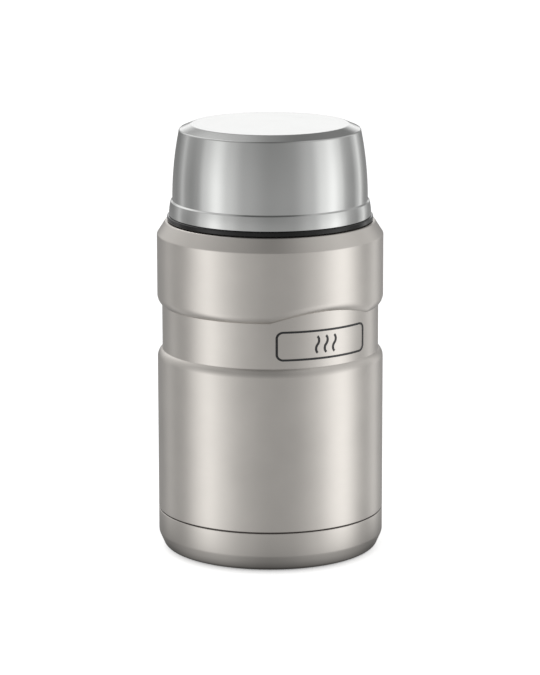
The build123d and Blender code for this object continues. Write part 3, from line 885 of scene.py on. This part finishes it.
class FOODJAR_OT_stopper(FoodJarOperator, bpy.types.Operator):
    """Add the stopper: threaded body, cap, gasket and fluted grip"""

    bl_idname = "food_jar.stopper"
    bl_label = "Stopper"

    def execute(self, context):
        s = context.scene.food_jar_stopper
        body = trace(
            "stopper_plastic",
            [
                (s.plug_bore, s.bottom),
                (s.plug_radius, s.bottom),
                (s.plug_radius, s.gasket_top),
                (s.radius, s.gasket_top),
                (s.radius, s.flange_bottom),
                (s.flange_radius, s.flange_bottom),
                (s.flange_radius, s.flange_top),
                (s.plug_bore, s.flange_top),
            ],
            {3: 0.0004, 4: 0.0004, 5: 0.0004},
            closed=True,
        )
        spin(body, PLAIN_STEPS)
        join(body, ridges("stopper_ridges", s.radius, 1, s.thread))
        finish(body, "stopper_body", "stopper", "black_plastic")
        spigot = s.plug_bore - SPIGOT_FIT
        cap = trace(
            "plug_cap_plastic",
            [
                (0.0, CAP_LOW.z),
                (s.plug_radius, CAP_LOW.z),
                (s.plug_radius, s.bottom),
                (spigot, s.bottom),
                (spigot, CAP_HIGH.z),
                (0.0, CAP_HIGH.z),
            ],
            {1: 0.0006},
        )
        spin(cap, PLAIN_STEPS)
        finish(cap, "plug_cap", "stopper", "black_plastic")
        bore = s.plug_radius + GASKET_FIT
        gasket = trace(
            "gasket_silicone",
            [
                (bore, GASKET_LOW.z),
                (s.radius, GASKET_LOW.z),
                (s.radius, s.gasket_top),
                (bore, s.gasket_top),
            ],
            {0: 0.0003, 1: 0.0003, 2: 0.0003, 3: 0.0003},
            closed=True,
        )
        spin(gasket, PLAIN_STEPS)
        finish(gasket, "stopper_gasket", "gasket", "silicone")
        self.grip(s)
        return {"FINISHED"}

    def grip(self, s):
        """The fluted rim, the finger recess and the bar across it."""
        inside = s.flange_radius - s.rim_width
        spigot = s.plug_bore - SPIGOT_FIT
        rim = trace(
            "grip_plastic",
            [
                (0.0, s.flange_top - SPIGOT_HEIGHT),
                (spigot, s.flange_top - SPIGOT_HEIGHT),
                (spigot, s.flange_top),
                (s.flange_radius, s.flange_top),
                (s.flange_radius, s.rim_top),
                (inside, s.rim_top),
                (inside, s.recess_floor),
                (0.0, s.recess_floor),
            ],
            {5: 0.0005, 6: 0.0005},
            longest=0.002,
        )
        steps = s.flutes * 8
        spin(rim, steps)
        for share, size in ((0.0, 1.0), (1.0, 0.66)):
            pick(
                rim,
                lambda at, share=share: at.xy.length > s.flange_radius - SAME_WALL
                and round(abs(math.remainder(math.atan2(at.y, at.x), math.tau / s.flutes))
                * steps / math.tau) == share,
            )
            shrink = 1 - s.flute_depth * size / s.flange_radius
            bpy.ops.transform.resize(value=(shrink, shrink, 1), center_override=(0, 0, 0))
        bpy.ops.object.mode_set(mode="OBJECT")
        join(rim, self.bar(s, inside))
        finish(rim, "stopper_grip", "stopper", "black_plastic")

    def bar(self, s, inside):
        """The bar that fingers turn, a slot's shape with a rounded top edge."""
        deselect()
        end = s.bar_width / 2
        bpy.ops.mesh.primitive_circle_add(
            vertices=64, radius=end, fill_type="NGON", location=(0, 0, s.recess_floor)
        )
        bar = bpy.context.object
        bar.name = bar.data.name = "grip_bar"
        reach = inside - end
        for way in (-1, 1):
            pick(bar, lambda at, way=way: at.x * way > SAME_LEVEL)
            bpy.ops.transform.translate(value=(way * reach, 0, 0))
        edit(bar, "ALL", "FACE")
        bpy.ops.mesh.extrude_region_move(
            TRANSFORM_OT_translate={"value": (0, 0, GRIP_HIGH.z - s.recess_floor)}
        )
        bpy.ops.mesh.select_all(action="SELECT")
        bpy.ops.mesh.normals_make_consistent(inside=False)
        soften(bar, lambda a, b: min(a.z, b.z) > GRIP_HIGH.z - SAME_LEVEL, s.bar_edge, 6)
        bpy.ops.object.transform_apply(location=True, rotation=True, scale=True)
        return bar


class FOODJAR_OT_cup(FoodJarOperator, bpy.types.Operator):
    """Add the cup: steel shell, black threaded rim, bowl and seal"""

    bl_idname = "food_jar.cup"
    bl_label = "Cup"

    def execute(self, context):
        s = context.scene.food_jar_cup
        skirt = bow((s.mouth_radius, CUP_LOW.z), (s.skirt_radius, s.step), 4)
        side = bow((s.side_radius, s.side_bottom), (s.shoulder_radius, s.shoulder), 10)
        path = skirt + side + [(s.top_radius, CUP_HIGH.z), (0.0, CUP_HIGH.z)]
        shell = trace(
            "cup_shell_steel",
            path,
            {
                len(skirt) - 1: 0.00022,
                len(skirt): 0.00018,
                len(path) - 3: 0.0009,
                len(path) - 2: 0.0025,
            },
        )
        spin(shell, OUTER_STEPS)
        thicken(shell, s.wall)
        soften(
            shell,
            lambda a, b: max(a.z, b.z) < CUP_LOW.z + SAME_LEVEL
            and min(a.xy.length, b.xy.length) > s.mouth_radius - SAME_WALL,
            HEM_RADIUS,
            HEM_SEGMENTS,
        )
        finish(shell, "cup_shell", "cup", "polished_steel")
        self.rim(s)
        bowl = trace(
            "cup_bowl_steel",
            bow((s.bowl_radius, BOWL_LOW.z), (s.bowl_floor_radius, s.bowl_floor), 10)
            + [(0.0, s.bowl_floor)],
            {10: s.bowl_corner},
        )
        spin(bowl, PLAIN_STEPS, inwards=True)
        thicken(bowl, s.wall)
        finish(bowl, "cup_bowl", "cup", "inner_steel")
        return {"FINISHED"}

    def rim(self, s):
        """The black rim with its flange, its grooves, its thread and the seal under it."""
        low, flange_top = RIM_LOW.z, CUP_LOW.z
        seal_radius = SEAL_HIGH.x
        bore = seal_radius - SEAL_WIDTH
        rim = trace(
            "cup_rim_plastic",
            [
                (s.rim_bore, low),
                (bore - SEAL_FIT, low),
                (bore - SEAL_FIT, SEAL_HIGH.z),
                (seal_radius + SEAL_FIT, SEAL_HIGH.z),
                (seal_radius + SEAL_FIT, low),
                (RIM_HIGH.x, low),
                (RIM_HIGH.x, flange_top),
                (s.rim_neck, flange_top),
                (s.rim_neck, s.groove),
                (s.groove_radius, s.groove),
                (s.groove_radius, s.groove + s.groove_height),
                (s.rim_neck, s.groove + s.groove_height),
                (s.rim_neck, RIM_HIGH.z),
                (s.bowl_seat, RIM_HIGH.z),
                (s.bowl_seat, BOWL_LOW.z),
                (s.rim_bore, BOWL_LOW.z),
            ],
            {0: 0.0003, 5: 0.0005, 6: 0.0005},
            closed=True,
        )
        spin(rim, PLAIN_STEPS)
        join(rim, ridges("rim_ridges", s.rim_bore, -1, s.thread))
        finish(rim, "cup_rim", "cup", "gloss_black")
        seal = trace(
            "cup_seal_silicone",
            [
                (bore, SEAL_LOW.z),
                (seal_radius, SEAL_LOW.z),
                (seal_radius, SEAL_HIGH.z),
                (bore, SEAL_HIGH.z),
            ],
            {0: 0.0003, 1: 0.0003, 2: 0.0001, 3: 0.0001},
            closed=True,
        )
        spin(seal, PLAIN_STEPS)
        finish(seal, "cup_seal", "seal", "silicone")


class FOODJAR_OT_fittings(FoodJarOperator, bpy.types.Operator):
    """Finish the pieces that keep the shape they have: badge, sealant and the hidden fittings"""

    bl_idname = "food_jar.fittings"
    bl_label = "Badge and fittings"

    def execute(self, context):
        slots = {
            part["node"]: part["material_slot"] for part in frame["record"]["subparts"]
        }
        for node in frame["nodes"]:
            if not frame["nodes"][node].hide_render:
                dress(node, finish_for(slots[node]))
        return {"FINISHED"}


# Stage


class FOODJAR_OT_stage(FoodJarOperator, bpy.types.Operator):
    """Add the floor, the soft surround, the lamp and the camera"""

    bl_idname = "food_jar.stage"
    bl_label = "Stage"

    def execute(self, context):
        studio = context.scene.food_jar_studio
        context.scene.view_settings.view_transform = "Standard"
        self.floor()
        self.surround(studio)
        deselect()
        bpy.ops.object.light_add(type="AREA", location=(-0.25, -0.35, 1.2))
        lamp = context.object
        lamp.name = "overhead_lamp"
        lamp.data.size = 0.9
        lamp.data.energy = studio.lamp
        lamp.rotation_euler = (math.radians(16), math.radians(-12), 0)
        lamp.visible_glossy = False
        bpy.ops.object.camera_add(
            location=CAMERA_PLACE,
            rotation=CAMERA_TURN,
        )
        camera = context.object
        camera.name = "camera"
        camera.data.lens = studio.lens
        camera.data.sensor_width = 36.0
        camera.data.clip_start = 0.01
        camera.data.clip_end = 100.0
        context.scene.camera = camera
        return {"FINISHED"}

    def floor(self):
        """A white floor that keeps the shadow cast on it, with a painted shadow round the foot
        and a painted reflection that only the steel sees.
        """
        deselect()
        bpy.ops.mesh.primitive_plane_add(size=40.0, location=(0, 0, 0))
        floor = bpy.context.object
        floor.name = floor.data.name = "floor"
        material, tree, shader = new_material("floor_white")
        place = add(tree, "ShaderNodeTexCoord").outputs["Object"]
        grain = noise(tree, place, 3.0)
        tree.links.new(
            blend_colours(tree, grain, (0.90, 0.90, 0.90), (0.92, 0.92, 0.92)),
            shader.inputs["Base Color"],
        )
        shader.inputs["Roughness"].default_value = 0.9
        shader.inputs["Specular IOR Level"].default_value = 0.0
        parts = add(tree, "ShaderNodeSeparateXYZ")
        tree.links.new(place, parts.inputs[0])
        flat, out = flattened(tree, parts)
        ray = add(tree, "ShaderNodeLightPath")
        front = add(tree, "ShaderNodeVectorMath", operation="DISTANCE")
        tree.links.new(flat, front.inputs[0])
        front.inputs[1].default_value = PAINTED_SHADOW_MIDDLE
        # The floor's own light to the camera, lower round the foot and more so in front: a
        # painted shadow
        glow_with_painted_shadow = math_node(
            tree,
            "MULTIPLY",
            ray.outputs["Is Camera Ray"],
            spread(tree, front.outputs["Value"], *FLOOR_GLOW_AND_PAINTED_SHADOW),
        )
        tree.links.new(glow_with_painted_shadow, shader.inputs["Emission Strength"])
        shader.inputs["Emission Color"].default_value = (1, 1, 1, 1)
        # A painted reflection: a patch of floor that glows only for glossy rays, dark at the
        # foot
        painted_reflection = add(tree, "ShaderNodeEmission")
        painted_pool = ring(tree, bearing_of(tree, place)[1], PAINTED_REFLECTION_POOL)
        tree.links.new(
            math_node(tree, "MULTIPLY", painted_pool, spread(tree, out, *PAINTED_REFLECTION_SHADE)),
            painted_reflection.inputs["Strength"],
        )
        clear = add(tree, "ShaderNodeBsdfTransparent")
        under = self.mix(tree, spread(tree, out, *PAINTED_REFLECTION_EDGE), painted_reflection, clear)
        seen = self.mix(tree, ray.outputs["Is Glossy Ray"], shader, under)
        tree.links.new(seen.outputs[0], tree.nodes["Material Output"].inputs["Surface"])
        floor.data.materials.append(material)

    def mix(self, tree, share, first, second):
        """A mix of two shaders."""
        node = add(tree, "ShaderNodeMixShader")
        tree.links.new(share, node.inputs["Fac"])
        tree.links.new(first.outputs[0], node.inputs[1])
        tree.links.new(second.outputs[0], node.inputs[2])
        return node

    def surround(self, studio):
        """A surround of soft upright panels round the jar, white to the camera."""
        world = bpy.data.worlds.new("surround")
        bpy.context.scene.world = world
        world.use_nodes = True
        tree = world.node_tree
        back = tree.nodes["Background"]
        back.inputs["Color"].default_value = (1, 1, 1, 1)
        way = add(tree, "ShaderNodeTexCoord").outputs["Generated"]
        turned, bearing = bearing_of(tree, way)
        level = ring(tree, bearing, LOW_PANELS)
        high = ring(tree, bearing, HIGH_PANELS)
        parts = add(tree, "ShaderNodeSeparateXYZ")
        tree.links.new(turned, parts.inputs[0])
        for share, other in self.zones(tree, parts, high):
            level = mix_values(tree, share, level, other)
        ray = add(tree, "ShaderNodeLightPath").outputs["Is Camera Ray"]
        seen = mix_values(tree, ray, math_node(tree, "MULTIPLY", level, studio.sky), 1.0)
        tree.links.new(seen, back.inputs["Strength"])

    def zones(self, tree, parts, high):
        """Share and level of each zone over and under the upright panels.

        ahead points to the camera's side.
        """

        def both(first, second):
            return math_node(tree, "MULTIPLY", first, second)

        up, ahead = parts.outputs["Z"], parts.outputs["X"]
        behind = spread(tree, ahead, 1.0, 0.0, -0.97, -0.90)
        far_side = spread(tree, ahead, 1.0, 0.0, -0.84, -0.70)
        return [
            (spread(tree, up, 0.0, 1.0, -0.05, 0.6), high),
            (both(far_side, spread(tree, up, 1.0, 0.0, -0.18, -0.06)), 0.34),
            (both(behind, spread(tree, up, 0.0, 1.0, 0.02, 0.12)), 1.3),
            (spread(tree, up, 0.0, 1.0, 0.90, 0.97), 0.15),
            (spread(tree, up, 1.0, 0.0, -1.0, -0.6), 0.3),
        ]


# Panel and registration

PIECES = (
    FOODJAR_OT_base_cup,
    FOODJAR_OT_outer_shell,
    FOODJAR_OT_vessel,
    FOODJAR_OT_stopper,
    FOODJAR_OT_cup,
    FOODJAR_OT_fittings,
    FOODJAR_OT_stage,
)
GROUPS = {
    "food_jar_sizes": FoodJarSizes,
    "food_jar_vessel": FoodJarVessel,
    "food_jar_thread": FoodJarThread,
    "food_jar_stopper": FoodJarStopper,
    "food_jar_cup": FoodJarCup,
    "food_jar_colours": FoodJarColours,
    "food_jar_studio": FoodJarStudio,
}


class FOODJAR_PT_panel(bpy.types.Panel):
    """Sizes, colours and pieces of the food jar"""

    bl_label = "Food jar"
    bl_idname = "FOODJAR_PT_panel"
    bl_space_type = "VIEW_3D"
    bl_region_type = "UI"
    bl_category = "Food jar"

    def draw(self, context):
        for name, group in GROUPS.items():
            box = self.layout.box()
            for prop in group.__annotations__:
                box.prop(getattr(context.scene, name), prop)
        for piece in PIECES:
            self.layout.operator(piece.bl_idname)


def register():
    for group in GROUPS.values():
        bpy.utils.register_class(group)
    for piece in PIECES:
        bpy.utils.register_class(piece)
    bpy.utils.register_class(FOODJAR_PT_panel)
    for name, group in GROUPS.items():
        setattr(bpy.types.Scene, name, PointerProperty(type=group))


def unregister():
    for name in GROUPS:
        delattr(bpy.types.Scene, name)
    bpy.utils.unregister_class(FOODJAR_PT_panel)
    for piece in reversed(PIECES):
        bpy.utils.unregister_class(piece)
    for group in reversed(GROUPS.values()):
        bpy.utils.unregister_class(group)


def main():
    register()
    bpy.ops.food_jar.base_cup()
    bpy.ops.food_jar.outer_shell()
    bpy.ops.food_jar.vessel()
    bpy.ops.food_jar.stopper()
    bpy.ops.food_jar.cup()
    bpy.ops.food_jar.fittings()
    bpy.ops.food_jar.stage()


if __name__ == "__main__":
    main()
